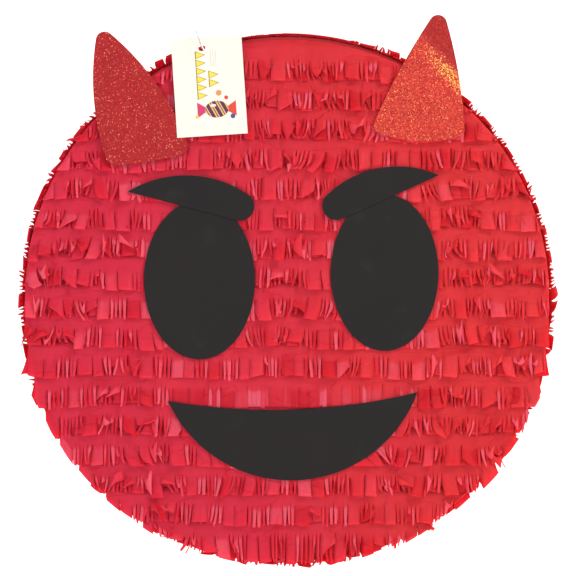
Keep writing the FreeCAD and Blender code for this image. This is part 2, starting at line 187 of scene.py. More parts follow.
# parts of the face where handling has ruffled the fringe most: x, z and reach from the middle
RUFFLED = ((-0.168, 0.097, 0.065), (0.174, 0.115, 0.060), (0.190, 0.000, 0.075),
           (0.138, -0.137, 0.070), (0.030, 0.187, 0.075), (0.012, 0.016, 0.050),
           (-0.222, -0.002, 0.045), (-0.132, -0.123, 0.040))


def node_names(start):
    """The frame's nodes whose names begin in one way, in order."""
    return sorted(name for name in NODES if name.startswith(start))


# ---------------------------------------------------------------- sizes and colours to change

class PinataFringe(bpy.types.PropertyGroup):
    """How the tissue is cut and how it has settled."""
    tab_width: bpy.props.FloatProperty(
        name="Tab width", description="Width of a wide tab", default=11.5 * MM, unit="LENGTH")
    strand_width: bpy.props.FloatProperty(
        name="Strand width", description="Width of a narrow strand", default=3.6 * MM,
        unit="LENGTH")
    cut_depth: bpy.props.FloatProperty(
        name="Cut depth", description="How far the cuts run into a strip", default=20.5 * MM,
        unit="LENGTH")
    ruffle: bpy.props.FloatProperty(
        name="Ruffle", description="How much handling has ruffled the tabs", default=1.0,
        subtype="FACTOR")
    thickness: bpy.props.FloatProperty(
        name="Paper thickness", description="Thickness of the tissue as it is drawn",
        default=0.12 * MM, unit="LENGTH")


class PinataColours(bpy.types.PropertyGroup):
    """The colours of the materials."""
    tissue: bpy.props.FloatVectorProperty(
        name="Tissue", description="Colour of the tissue paper", default=(0.72, 0.018, 0.036),
        subtype="COLOR")
    card: bpy.props.FloatVectorProperty(
        name="Card", description="Colour of the card face", default=(0.0145, 0.0138, 0.0146),
        subtype="COLOR")
    glitter: bpy.props.FloatVectorProperty(
        name="Glitter", description="Colour of the glitter foam", default=(0.50, 0.016, 0.020),
        subtype="COLOR")
    # the edge paper's dark colour, left showing round the top, is painted shade along the rim
    edge_paper: bpy.props.FloatVectorProperty(
        name="Edge paper", description="Colour of the strip on the edges",
        default=(0.33, 0.006, 0.016), subtype="COLOR")
    kraft: bpy.props.FloatVectorProperty(
        name="Kraft board", description="Colour of the corrugated board",
        default=(0.36, 0.22, 0.11), subtype="COLOR")


class PinataStage(bpy.types.PropertyGroup):
    """The studio round the object."""
    distance: bpy.props.FloatProperty(
        name="Camera distance", description="From the camera to the face", default=1.8,
        unit="LENGTH")
    lens: bpy.props.FloatProperty(
        name="Lens", description="Focal length of the camera in millimetres", default=125)
    light: bpy.props.FloatProperty(
        name="Light", description="Strength of the studio lights", default=1.0)


# ---------------------------------------------------------------- materials

def operator(kind, reflected=False):
    """An operator that adds one Math node, its two sides swapped where it is reflected."""
    def apply(value, other):
        sides = (other, value) if reflected else (value, other)
        return value.net.math(kind, *sides)
    return apply


class Value:
    """A number that varies over a surface. The usual operators add Math nodes."""

    def __init__(self, net, socket):
        self.net = net
        self.socket = socket

    __add__, __radd__ = operator("ADD"), operator("ADD", True)
    __sub__, __rsub__ = operator("SUBTRACT"), operator("SUBTRACT", True)
    __mul__, __rmul__ = operator("MULTIPLY"), operator("MULTIPLY", True)
    __truediv__, __pow__ = operator("DIVIDE"), operator("POWER")
    __lt__, __gt__ = operator("LESS_THAN"), operator("GREATER_THAN")


class Finish:
    """A material and the few ways in which its nodes are made."""

    def __init__(self, name, **constants):
        self.material = bpy.data.materials.new(name)
        self.material.use_nodes = True
        self.tree = self.material.node_tree
        self.shader = self.tree.nodes["Principled BSDF"]
        for socket, value in constants.items():
            self.shader.inputs[socket.replace("_", " ")].default_value = value
        self.place = self.node("ShaderNodeTexCoord").outputs["Object"]

    def node(self, kind, settings=None, inputs=None):
        """One node: its settings first, then the values or links of its sockets."""
        item = self.tree.nodes.new(kind)
        for name, setting in (settings or {}).items():
            setattr(item, name, setting)
        sockets = {socket.identifier: socket for socket in item.inputs}
        for key, value in (inputs or {}).items():
            socket = item.inputs[key] if isinstance(key, int) else sockets[key]
            self.feed(socket, value)
        return item

    def feed(self, socket, value):
        """Link a value, or set it on the socket if it is the same all over."""
        if isinstance(value, Value):
            value = value.socket
        if isinstance(value, bpy.types.NodeSocket):
            self.tree.links.new(value, socket)
        else:
            socket.default_value = value

    def math(self, operation, *values):
        """One Math node on values or numbers."""
        item = self.node("ShaderNodeMath", {"operation": operation}, dict(enumerate(values)))
        return Value(self, item.outputs[0])

    def mix(self, factor, below, above):
        """A colour between two."""
        item = self.node("ShaderNodeMix", {"data_type": "RGBA", "clamp_factor": True},
                         {"Factor_Float": factor, "A_Color": below, "B_Color": above})
        return [socket for socket in item.outputs if socket.identifier == "Result_Color"][0]

    def noise(self, scale, detail=2.0, roughness=0.5, place=None):
        """Cloudy noise, by default at the surface's own place."""
        item = self.node("ShaderNodeTexNoise", {},
                         {"Vector": place or self.place, "Scale": scale, "Detail": detail,
                          "Roughness": roughness})
        return Value(self, item.outputs["Fac"])

    def cells(self, scale):
        """Small cells, each with a colour of its own."""
        return self.node("ShaderNodeTexVoronoi", {"feature": "F1"},
                         {"Vector": self.place, "Scale": scale})

    def stretched(self, x, y, z):
        """The surface's place with each axis scaled, so that a pattern runs along one of them."""
        item = self.node("ShaderNodeMapping", {}, {"Vector": self.place, "Scale": (x, y, z)})
        return item.outputs[0]

    def smooth(self, value, low, high):
        """A soft step from 0 to 1 as the value goes from low to high."""
        item = self.node("ShaderNodeMapRange", {"interpolation_type": "SMOOTHSTEP"},
                         {"Value": value, "From Min": low, "From Max": high})
        return Value(self, item.outputs[0])

    def bump(self, height, distance, strength):
        """A normal tilted by a height, where a height of 1 stands for the distance."""
        item = self.node("ShaderNodeBump", {}, {"Height": height, "Distance": distance,
                                                "Strength": strength})
        return item.outputs[0]

    def set(self, **inputs):
        """Feed the shader's own sockets."""
        for name, value in inputs.items():
            self.feed(self.shader.inputs[name.replace("_", " ")], value)
        return self.material


def shade(colour, factor, shift=(1.0, 1.0, 1.0)):
    """A colour made lighter or darker, with its own factor on each channel."""
    scaled = [min(1.0, channel * factor * part) for channel, part in zip(colour, shift)]
    return (*scaled, 1.0)


def tissue_paper(colours):
    """Thin dyed paper: cloudy dye, each tab a little different, creases across the strip; with
    painted light: the left side tinted pinker and the right warmer, painted shade under the plies
    and in the creases and folds, and a pink painted highlight on the strands.
    """
    net = Finish("red_tissue", Specular_IOR_Level=0.13, Sheen_Weight=0.13, Sheen_Roughness=0.45,
                 Sheen_Tint=(1.0, 0.55, 0.60, 1.0), Subsurface_Weight=0.45,
                 Subsurface_Scale=0.0016, Subsurface_Radius=(1.0, 0.10, 0.14))
    own = Value(net, net.node("ShaderNodeAttribute", {"attribute_name": "shade"}).outputs["Fac"])
    cloud = net.noise(5.5, 3.0)
    fibre = net.noise(1.0, 4.0, 0.6, net.stretched(420, 420, 120))
    crease = net.noise(1.0, 2.0, 0.5, net.stretched(90, 90, 28))
    ridge = net.math("ABSOLUTE", net.noise(1.0, 2.0, 0.5, net.stretched(17, 17, 46)) * 2 - 1)
    fold = 1 - net.smooth(ridge, 0.0, 0.045)
    x = Value(net, net.node("ShaderNodeSeparateXYZ", {}, {"Vector": net.place}).outputs["X"])
    # painted light: the left of the face is tinted pinker and the right warmer, as the lamps on
    # each side tint them; the cloud noise is the dye's own variation
    across = net.smooth(x, -0.26, 0.26)
    dye_and_painted_side_light = net.mix(net.smooth(cloud * 0.5 + across * 0.5, 0.30, 0.70),
                  shade(colours.tissue, 0.97, (1, 1.3, 1.6)),
                  shade(colours.tissue, 1.03, (1, 1.6, 1.0)))
    # painted shade: darker, deeper red where the plies lie under the outer one, in the dips of the
    # creases and along the folds; the random tone of each tab comes through too
    tone_and_painted_light = net.smooth(own * 0.66 + crease * 0.34 - fold * 0.10, 0.10, 0.60)
    colour = net.mix(tone_and_painted_light, shade(colours.tissue, 0.74, (1, 0.1, 0.4)), dye_and_painted_side_light)
    # painted highlight: the lightest tabs and strands turn pale pink
    with_painted_highlight = net.mix(net.smooth(own + crease * 0.2 + fibre * 0.2, 0.82, 1.22) * 0.85, colour,
                      shade(colours.tissue, 1.2, (1, 4.4, 3.4)))
    relief = crease * 0.6 + fibre * 0.25 - fold * 0.5
    return net.set(Base_Color=with_painted_highlight, Roughness=0.46 + fibre * 0.22,
                   Normal=net.bump(relief, 0.0007, 0.5))


def black_card(colours):
    """Matte craft card: a faint mottle, a fibre grain and a few rubbed places."""
    net = Finish("black_card", Specular_IOR_Level=0.17)
    mottle = net.noise(16, 4.0, 0.6)
    grain = net.noise(900, 3.0, 0.6)
    rubbed = net.smooth(net.noise(34, 3.0, 0.7), 0.60, 0.78)
    colour = net.mix(mottle, shade(colours.card, 0.86, (1, 1, 1.06)),
                     shade(colours.card, 1.16, (1.06, 1, 0.94)))
    worn = net.mix(rubbed * 0.35, colour, shade(colours.card, 1.7))
    return net.set(Base_Color=worn, Roughness=0.70 + grain * 0.16 - rubbed * 0.08,
                   Normal=net.bump(grain, 0.00012, 0.55))


def glitter_foam(colours):
    """Flakes of glitter, each facing its own way, on red foam, with painted light: the right horn
    is painted lighter and warmer, with a golden painted highlight band across it, and painted shade
    and fewer painted glints towards its tip."""
    net = Finish("glitter_foam", Specular_IOR_Level=0.30)
    flakes = net.cells(1500)
    hues = net.node("ShaderNodeSeparateColor", {}, {"Color": flakes.outputs["Color"]})
    colour, other = Value(net, hues.outputs["Red"]), Value(net, hues.outputs["Green"])
    axes = net.node("ShaderNodeSeparateXYZ", {}, {"Vector": net.place})
    x, z = Value(net, axes.outputs["X"]), Value(net, axes.outputs["Z"])
    low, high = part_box("right_horn")
    # painted light: the right horn (x above 0) is painted lighter and warmer than the left, in its
    # foam and its flakes
    painted_light_right = net.smooth(x, -0.02, 0.02)
    over = (x - low.x) / (high.x - low.x)
    below = (high.z - z) / (high.z - low.z) - (over - 0.5) * 0.7 - 0.24
    # painted highlight: a golden band across the upper right of the right horn
    painted_highlight_band = (1 - net.smooth(net.math("ABSOLUTE", below), 0.02, 0.13)) * net.smooth(over, 0.45, 0.8)
    # painted shade: the right horn darker towards its tip, with fewer glints there
    painted_tip_shade = painted_light_right * (1 - net.smooth(below, -0.16, -0.03))
    foam = net.mix(net.noise(40, 3.0), shade(colours.glitter, 0.5),
                   net.mix(painted_light_right, shade(colours.glitter, 0.72, (1, 0.8, 0.8)),
                           shade(colours.glitter, 0.94, (1, 0.8, 0.8))))
    # each flake a colour of its own, darker or lighter at random; on the right horn the flakes are
    # painted lighter and pinker, as painted light
    flake = net.mix(other, net.mix(painted_light_right, shade(colours.glitter, 0.56, (1, 0.8, 0.8)),
                                   shade(colours.glitter, 0.74, (1, 0.8, 0.8))),
                    net.mix(painted_light_right, shade(colours.glitter, 0.90, (1, 1.3, 1.2)),
                            shade(colours.glitter, 1.45, (1, 3.6, 1.5))))
    # painted glints: a few flakes painted bright orange-red, more of them in the highlight band and
    # fewer at the tip
    painted_glint_colour = net.mix(painted_light_right, (0.80, 0.20, 0.15, 1.0), (0.96, 0.30, 0.14, 1.0))
    painted_glint = net.smooth(colour + painted_highlight_band * 0.30 - painted_tip_shade * 0.05, 0.945, 0.985)
    plain = net.mix(net.smooth(other, 0.25, 0.6), foam, flake)
    # painted shade darkens the right horn's tip
    with_painted_tip_shade = net.mix(painted_tip_shade * 0.8, plain, shade(colours.glitter, 0.62))
    bright = net.mix(painted_glint, with_painted_tip_shade,
                     net.mix(painted_highlight_band, painted_glint_colour, (0.98, 0.52, 0.12, 1.0)))
    lean = net.node("ShaderNodeVectorMath", {"operation": "SUBTRACT"},
                    {0: flakes.outputs["Color"], 1: (0.5, 0.5, 0.5)})
    tipped = net.node("ShaderNodeVectorMath", {"operation": "MULTIPLY_ADD"},
                      {0: lean.outputs[0], 1: (0.75, 0.75, 0.75),
                       2: net.node("ShaderNodeNewGeometry").outputs["Normal"]})
    facing = net.node("ShaderNodeVectorMath", {"operation": "NORMALIZE"}, {0: tipped.outputs[0]})
    return net.set(Base_Color=bright, Roughness=0.26 + other * 0.3,
                   Metallic=net.smooth(other, 0.3, 0.7) * 0.6, Normal=facing.outputs[0])


def edge_paper(colours):
    """The smooth red strip folded over the edges, with pale fibres and shallow wrinkles. Its dark
    colour, left showing round the top of the face, is painted shade along the rim.
    """
    net = Finish("red_paper", Specular_IOR_Level=0.4)
    fibre = net.noise(260, 4.0, 0.6)
    wrinkle = net.noise(46, 3.0, 0.6)
    colour = net.mix(fibre, shade(colours.edge_paper, 0.8), shade(colours.edge_paper, 1.25))
    return net.set(Base_Color=colour, Roughness=0.5 + fibre * 0.2,
                   Normal=net.bump(wrinkle * 0.8 + fibre * 0.2, 0.0006, 0.6))


def kraft_board(colours):
    """Corrugated board: fibre flecks, and the flutes showing through as a soft ripple."""
    net = Finish("cardboard", Specular_IOR_Level=0.25)
    flecks = net.noise(1.0, 4.0, 0.7, net.stretched(900, 900, 220))
    cloud = net.noise(14, 3.0)
    along = Value(net, net.node("ShaderNodeSeparateXYZ", {}, {"Vector": net.place}).outputs["X"])
    flute = net.math("SINE", along * (2 * math.pi / 0.0064)) * 0.5 + 0.5
    colour = net.mix(flecks * 0.6 + cloud * 0.4, shade(colours.kraft, 0.74),
                     shade(colours.kraft, 1.24))
    ribbed = net.mix(flute * 0.18, colour, shade(colours.kraft, 0.7))
    return net.set(Base_Color=ribbed, Roughness=0.78 + flecks * 0.14,
                   Normal=net.bump(flute * 0.7 + flecks * 0.3, 0.0002, 0.5))


def gummed_tape(colours):
    """Brown gummed paper tape, a little glossier than the board, with fine reinforcing threads."""
    net = Finish("paper_tape", Specular_IOR_Level=0.4)
    fibre = net.noise(320, 4.0, 0.65)
    threads = net.noise(1.0, 1.0, 0.4, net.stretched(420, 420, 30))
    colour = net.mix(fibre * 0.7 + threads * 0.3, shade(colours.kraft, 1.0, (1, 1.05, 1.1)),
                     shade(colours.kraft, 1.6, (1, 1.08, 1.2)))
    return net.set(Base_Color=colour, Roughness=0.48 + fibre * 0.2,
                   Normal=net.bump(threads * 0.6 + fibre * 0.4, 0.00018, 0.5))


def clear_plastic():
    """Cloudy clear filament, with faint drawing marks."""
    net = Finish("clear_plastic", Transmission_Weight=0.55, IOR=1.46)
    marks = net.noise(700, 2.0)
    colour = net.mix(marks, (0.62, 0.63, 0.66, 1), (0.80, 0.81, 0.84, 1))
    return net.set(Base_Color=colour, Roughness=0.16 + marks * 0.16,
                   Normal=net.bump(marks, 0.00005, 0.4))


def tag_angle():
    """How far the tag's lower edge rises from left to right, from its own corners."""
    corners = node_points("hang_tag")
    foot = corners[np.argmin(corners[:, 2])]
    side = corners[np.argmax(corners[:, 0])]
    return math.atan2(side[2] - foot[2], side[0] - foot[0])


def tag_card():
    """White card printed with a column of pennants, a wrapped sweet, dots and thin rules."""
    net = Finish("tag_card", Specular_IOR_Level=0.45)
    local = net.node("ShaderNodeMapping", {"vector_type": "TEXTURE"},
                     {"Vector": net.place, "Location": tuple(TAG_PIVOT),
                      "Rotation": (0.0, -tag_angle(), 0.0), "Scale": (MM, MM, MM)})
    axes = net.node("ShaderNodeSeparateXYZ", {}, {"Vector": local.outputs[0]})
    x, z = Value(net, axes.outputs["X"]), Value(net, axes.outputs["Z"])

    def inside(value, low, high):
        """1 between the two limits and 0 outside them."""
        return (value > low) * (value < high)

    def ring(cx, cz, wide, tall):
        """Distance from a point in units of an oval's own half axes."""
        across, up = (x - cx) / wide, (z - cz) / tall
        return (across * across + up * up) ** 0.5

    fibre = net.noise(520, 3.0, 0.6)
    paper = net.mix(fibre, (0.76, 0.745, 0.66, 1), (0.82, 0.805, 0.72, 1))
    # a string of pennants: each is a triangle whose point turns away from the string
    for string, top, foot, pitch in ((-6.0, -3.0, -47.0, 7.3), (5.0, -21.0, -36.0, 7.5)):
        step = net.math("FRACT", (z * -1 + top) / pitch)
        reach = 8.4 * (1 - net.math("ABSOLUTE", step * 2 - 1) * 1.12)
        shift = x - string
        column = inside(z, foot, top)
        outline = column * inside(shift, -0.6, 9.0) * (shift < reach + 0.3)
        filling = column * inside(shift, 0.2, 9.0) * (shift < reach - 0.9)
        paper = net.mix(outline, paper, (0.24, 0.13, 0.03, 1))
        paper = net.mix(filling, paper, (0.80, 0.66, 0.06, 1))
    # a wrapped sweet with twisted ends and three bands
    for side, colour in ((-1, (0.55, 0.04, 0.14, 1)), (1, (0.62, 0.06, 0.035, 1))):
        out = (x - 10.0) * side - 8.5
        fan = inside(out, 0.0, 9.0) * (net.math("ABSOLUTE", z + 56.0) < out * 0.62 + 1.4)
        paper = net.mix(fan, paper, colour)
    sweet = ring(10.0, -56.0, 10.5, 7.6)
    stripe = net.math("FRACT", (x + z * 0.5 + 40) / 7.0)
    body = net.mix(stripe > 0.5, (0.09, 0.022, 0.085, 1), (0.75, 0.44, 0.09, 1))
    body = net.mix(inside(stripe, 0.70, 0.84), body, (0.04, 0.05, 0.20, 1))
    paper = net.mix(sweet < 1.0, paper, body)
    paper = net.mix(ring(7.0, -52.5, 2.6, 1.2) < 1.0, paper, (0.95, 0.75, 0.60, 1))
    for cx, cz, size, colour in ((12.5, -41.5, 2.6, (0.66, 0.26, 0.10, 1)),
                                 (19.0, -46.0, 1.8, (0.62, 0.05, 0.03, 1)),
                                 (24.0, -63.0, 2.2, (0.05, 0.08, 0.24, 1)),
                                 (-8.0, -62.0, 1.6, (0.72, 0.48, 0.08, 1))):
        paper = net.mix(ring(cx, cz, size, size) < 1.0, paper, colour)
    rules = inside(z, -18.0, -3.0) * inside(x, 5.5, 13.5)
    fine = net.math("FRACT", x / 2.3) < 0.28
    paper = net.mix(rules * fine * 0.5, paper, (0.35, 0.34, 0.33, 1))
    return net.set(Base_Color=paper, Roughness=0.38 + fibre * 0.14,
                   Normal=net.bump(fibre, 0.00005, 0.3))


def finish(name):
    """The material for one of the record's slots, made when it is first asked for."""
    if name in bpy.data.materials and "is_finish" in bpy.data.materials[name]:
        return bpy.data.materials[name]
    for old in [item for item in bpy.data.materials if item.name == name]:
        old.name = name + "_plain"
    colours = bpy.context.scene.pinata_colours
    makers = {"red_tissue": tissue_paper, "black_card": black_card, "glitter_foam": glitter_foam,
              "red_paper": edge_paper, "cardboard": kraft_board, "paper_tape": gummed_tape}
    plain = {"clear_plastic": clear_plastic, "tag_card": tag_card}
    made = makers[name](colours) if name in makers else plain[name]()
    made["is_finish"] = True
    return made


def cover(names, slot):
    """Give CAD nodes a finished material in place of their plain one."""
    for name in names:
        for holder in NODES[name].material_slots:
            holder.material = finish(slot)


# ---------------------------------------------------------------- cut paper

def node_points(name):
    """All the points of a CAD node's mesh."""
    mesh = NODES[name].data
    points = np.empty(len(mesh.vertices) * 3, np.float32)
    mesh.vertices.foreach_get("co", points)
    return points.reshape(-1, 3).astype(float)


class Outlines:
    """The outlines of flat pieces, each kept as its reach in evenly spread directions.

    A point lies outside a piece by the largest of (point . direction - reach)."""

    def __init__(self, names):
        turns = np.linspace(0, 2 * math.pi, 72, endpoint=False)
        self.ways = np.stack([np.cos(turns), np.sin(turns)])
        self.reaches = [(node_points(name)[:, [0, 2]] @ self.ways).max(axis=0) for name in names]

    def gap(self, x, z):
        """Distance to the nearest of the pieces, below 0 inside one."""
        along = x[..., None] * self.ways[0] + z[..., None] * self.ways[1]
        return np.min([(along - reach).max(axis=-1) for reach in self.reaches], axis=0)


def ease(value):
    """3t^2 - 2t^3 for t held between 0 and 1."""
    held = np.clip(value, 0, 1)
    return held * held * (3 - 2 * held)


def slow_noise(rng, count, reach=9):
    """Random numbers that change slowly from one tab to the next: a running mean, rescaled."""
    window = np.hanning(reach + 2)[1:-1]
    window /= np.sqrt((window ** 2).sum())
    return np.convolve(rng.normal(size=count + reach - 1), window, "valid")


def cut_places(rng, start, end, looks):
    """Where the cuts fall along a strip: runs of 1 or 2 wide tabs, then 3 to 6 narrow strands.

    Widths are added up, then scaled so that the last cut falls on the end."""
    runs = int((end - start) / looks.strand_width) + 2
    counts = np.stack([rng.integers(1, 3, runs), rng.integers(3, 7, runs)], axis=1).ravel()
    wide = np.repeat(np.tile([True, False], runs), counts)
    widths = np.where(wide, looks.tab_width, looks.strand_width)
    widths = widths * rng.uniform(0.8, 1.25, wide.size)
    cuts = np.concatenate([[0.0], np.cumsum(widths)])
    count = max(1, int(np.searchsorted(cuts, end - start)))
    cuts = cuts[:count + 1]
    return start + cuts * (end - start) / cuts[-1], wide[:count]


class Hanging:
    """How one strip hangs. foot and head are its cut and glued edges, and limits(along) trims
    it. calm(along, height) is 0 where it is held flat, messy(along) adds ruffle, and
    ceiling(along, height) is the room it has to stand out. rest is its lift at foot and head,
    waves says how far it strays from a straight line, and tips(along) is where tabs may end."""

    def __init__(self, foot, head, limits, calm, messy, ceiling, rest, waves=1.0, tips=None):
        self.foot, self.head, self.limits = foot, head, limits
        self.calm, self.messy, self.ceiling = calm, messy, ceiling
        self.rest, self.waves = rest, waves
        self.tips = tips or (lambda along: self.trimmed(along)[0])

    def trimmed(self, along):
        """The strip's lowest and highest place that its limits leave."""
        low, high = self.limits(along)
        return np.maximum(low, self.foot), np.minimum(high, self.head)


def each(values):
    """One value for each tab, spread over its grid."""
    return values[:, None, None]


def fringe_ply(rng, span, hang, looks, share):
    """One ply of cut tissue as a grid of (along, height, lift, shade), share being how freely
    it moves: 1 for the outer ply, less for the one under it.

    At rest the lift falls evenly from foot to head. Between the tip (drop = 1) and the root of
    its cut (drop = 0) a tab of length L bends along an arc of angle k, so it rises by
    L (drop - sin(k drop) / k) and lifts by half of L (1 - cos(k drop)) / k. k changes across
    the tab, which folds one corner further. It turns about its own middle line by
    twist * sqrt(drop), leans aside by lean * drop^2 and flares by drop^1.5."""
    cuts, wide = cut_places(rng, span[0], span[1], looks)
    depth = looks.cut_depth * rng.uniform(0.86, 1.08, cuts.size)
    depth[-1] = depth[0]
    part = np.linspace(0, 1, COLUMNS)
    along = cuts[:-1, None] * (1 - part) + cuts[1:, None] * part
    depth = depth[:-1, None] * (1 - part) + depth[1:, None] * part
    low, high = hang.trimmed(along)
    kept = (high - low).max(axis=1) > SHORTEST
    if not kept.any():
        return []
    along, depth, wide = along[kept], depth[kept], wide[kept]
    low, high = low[kept], np.maximum(high, low + SHORTEST)[kept]
    count = wide.size
    middle = along.mean(axis=1)
    inner = share < 1

    rough = ease(0.20 + 0.34 * slow_noise(rng, count) + hang.messy(middle)) * looks.ruffle
    drift = slow_noise(rng, count, 7)
    normal = rng.normal(size=(7, count))
    twist = np.where(wide, (0.05 + 0.40 * rough) * normal[0], (0.75 + 0.5 * rough)
                     * np.sign(normal[0]) * (0.6 + 0.4 * np.abs(normal[5]))) * share
    lean = (0.35 * normal[1] + rough * (3.4 * drift + 1.6 * normal[1])) * MM
    flare = (0.2 + 0.6 * np.abs(normal[2]) + 3.6 * rough * np.abs(normal[2])) * MM * share
    folded = (rng.random(count) < 0.02 + 0.34 * rough) & (not inner)
    curl = np.where(folded, rng.uniform(1.8, 2.8, count), 0.12 + (0.3 + 0.7 * rough)
                    * np.abs(normal[3]) * share)
    skew = np.clip(np.where(folded, 0.45, 0.25 + 0.3 * rough) * normal[6], -0.8, 0.8)
    bow = np.where(wide, 0.5, 0.35) * normal[4] * MM * share
    taper = np.where(wide, 0.05 * rng.random(count), 0.25 + 0.35 * rng.random(count))
    shorten = rng.uniform(np.where(wide, -0.2, -0.8), np.where(wide, 1.0, 2.4)) * MM
    shorten = shorten + (INNER_SHORTER if inner else 0)

    # the strip is never quite straight: two long waves carry its cut edge up and down
    phase = rng.uniform(0, 2 * math.pi, 2)
    sway = SWAY * (np.sin(along / SWAY_LENGTHS[0] + phase[0])
                   + 0.8 * np.sin(along / SWAY_LENGTHS[1] + phase[1]))
    sway = sway * ease((high - low) / SWAY_ROOM) * looks.ruffle * hang.waves
    root = np.clip(hang.foot + depth + sway, low + 1.5 * MM, high - 0.5 * MM)
    tip = np.minimum(hang.tips(along) + sway + shorten[:, None], root - MM)
    drop = np.concatenate([np.linspace(1, 0, TAB_LEVELS), np.zeros(HEAD_LEVELS - 1)])
    rise = np.concatenate([np.zeros(TAB_LEVELS), np.linspace(0, 1, HEAD_LEVELS)[1:]])
    length = (root - tip)[..., None]
    height = root[..., None] - drop * length + rise * (high - root)[..., None]

    turned = each(twist) * np.sqrt(drop)
    aside = along[..., None] - each(middle)
    half = each(np.abs(along[:, -1] - along[:, 0]) / 2)
    place = (each(middle) + aside * np.cos(turned) * (1 - each(taper) * drop)
             + each(lean) * drop ** 2)
    loose = hang.calm(place, height) * np.ones(height.shape)
    free = loose.min(axis=(1, 2))
    bent = (0.02 + each(curl * free)) * (1 + each(skew) * aside / half)
    place = each(middle) + aside + loose * (place - each(middle) - aside)
    height = height + loose * length * (drop - np.sin(bent * drop) / bent)
    off = (each(flare) * drop ** 1.5 + 0.5 * length * (1 - np.cos(bent * drop)) / bent
           + aside * np.sin(turned) + half * np.abs(np.sin(turned))
           + each(bow) * drop * (1 - (aside / half) ** 2) + np.abs(each(bow)) * drop)
    off = np.maximum(off, 0) * loose
    room = hang.ceiling(place, height) * share
    off = off / (1 + off / room)
    fall = np.clip((height - hang.foot) / (hang.head - hang.foot), 0, 1)
    lift = (hang.rest[0] + (hang.rest[1] - hang.rest[0]) * fall) * (0.6 if inner else 1) + off
    # each tab a random tone, with narrow strands 0.22 lighter as a painted highlight; the inner ply
    # starts from its painted shade
    bright = (rng.random(count) - 0.5) * np.where(wide, 0.7, 1) + np.where(wide, 0, 0.22)
    tone_and_painted_light = (INNER_PAINTED_SHADE if inner else OUTER_TONE) + each(bright) * share * ease(drop * 3)
    return [np.stack(np.broadcast_arrays(place, height, lift, tone_and_painted_light), axis=-1)]


def fringe_strip(rng, span, hang, looks):
    """The grids of one strip of tissue: two plies of cut tabs over a plain ply glued flat."""
    across = np.linspace(span[0], span[1], BACKING_COLUMNS)
    along = np.stack([across[:-1], across[1:]], axis=1)
    low, high = hang.trimmed(along)
    kept = (high - low).max(axis=1) > SHORTEST
    along, low = along[kept], low[kept]
    high = np.maximum(high[kept], low + SHORTEST)
    under_low = np.minimum(low + 2 * MM, high - 0.4 * MM)[..., None]
    levels = np.linspace(0, 1, HEAD_LEVELS)
    under = under_low + levels * (high[..., None] - 0.3 * MM - under_low)
    # the flat backing carries its painted shade
    flat = np.broadcast_arrays(along[..., None], under, 0.25 * MM, BACKING_PAINTED_SHADE)
    return (fringe_ply(rng, span, hang, looks, 1.0) + fringe_ply(rng, span, hang, looks, INNER)
            + [np.stack(flat, axis=-1)])


def new_object(name, points, quads):
    """A smooth mesh of four-sided faces, as an object at the origin."""
    mesh = bpy.data.meshes.new(name)
    mesh.from_pydata(points, [], quads)
    mesh.shade_smooth()
    item = bpy.data.objects.new(name, mesh)
    bpy.context.scene.collection.objects.link(item)
    return item


def make_paper(piece, slot, thickness):
    """Give a surface its material, its slot and an even thickness on both sides of it."""
    piece.data.materials.append(finish(slot))
    wall = piece.modifiers.new("paper", "SOLIDIFY")
    wall.thickness = thickness
    wall.offset = 0


def paper_piece(node, grids, onto, outward, looks, body="drum"):
    """A mesh of welded grids in place of a CAD node, riding on a body. onto turns (along,
    height, lift) into a place, and the faces look the way that outward says.

    Points that fall together, as neighbouring tabs' do above their cut, become one."""
    points, quads, tones = [], [], []
    start = 0
    for grid in grids:
        index = start + np.arange(grid[..., 0].size).reshape(grid.shape[:3])
        quads.append(np.stack([index[:, :-1, :-1], index[:, 1:, :-1], index[:, 1:, 1:],
                               index[:, :-1, 1:]], axis=-1).reshape(-1, 4))
        points.append(np.stack(onto(grid[..., 0], grid[..., 1], grid[..., 2]),
                               axis=-1).reshape(-1, 3))
        tones.append(grid[..., 3].ravel())
        start += grid[..., 0].size
    points, quads, tones = np.concatenate(points), np.concatenate(quads), np.concatenate(tones)
    keys = np.round(points / WELD).astype(np.int64)
    _, first, same = np.unique(keys, axis=0, return_index=True, return_inverse=True)
    points, tones, quads = points[first], tones[first], same.reshape(-1)[quads]
    corners = points[quads]
    normals = np.cross(corners[:, 2] - corners[:, 0], corners[:, 3] - corners[:, 1])
    if (normals * outward(corners.mean(axis=1))).sum() < 0:
        quads = quads[:, ::-1]
    piece = new_object("tissue_" + node, points, quads)
    piece.data.attributes.new("shade", "FLOAT", "POINT").data.foreach_set("value", tones)
    make_paper(piece, "red_tissue", looks.thickness)
    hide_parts(node)
    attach(piece, body)


def disc_limits(along):
    """The lowest and highest place on the round face, at each place across it. Towards the top the
    paper stops a little short, and the dark edge strip shows round it as painted shade along the
    rim."""
    half = np.sqrt(np.clip(COVER_RADIUS ** 2 - along ** 2, 0, None))
    return CENTRE_Z - half, CENTRE_Z + half - RIM_SHOWN * ease((half - RIM_START) / RIM_FADE)


def face_outward(side):
    """Away from one face, whatever the place."""
    return lambda places: np.array([0.0, side, 0.0])


def row_span(foot, head):
    """How far a row reaches to each side before the round edge trims it."""
    nearest = np.clip(CENTRE_Z, foot, head) - CENTRE_Z
    return math.sqrt(COVER_RADIUS ** 2 - nearest ** 2) * 0.9985


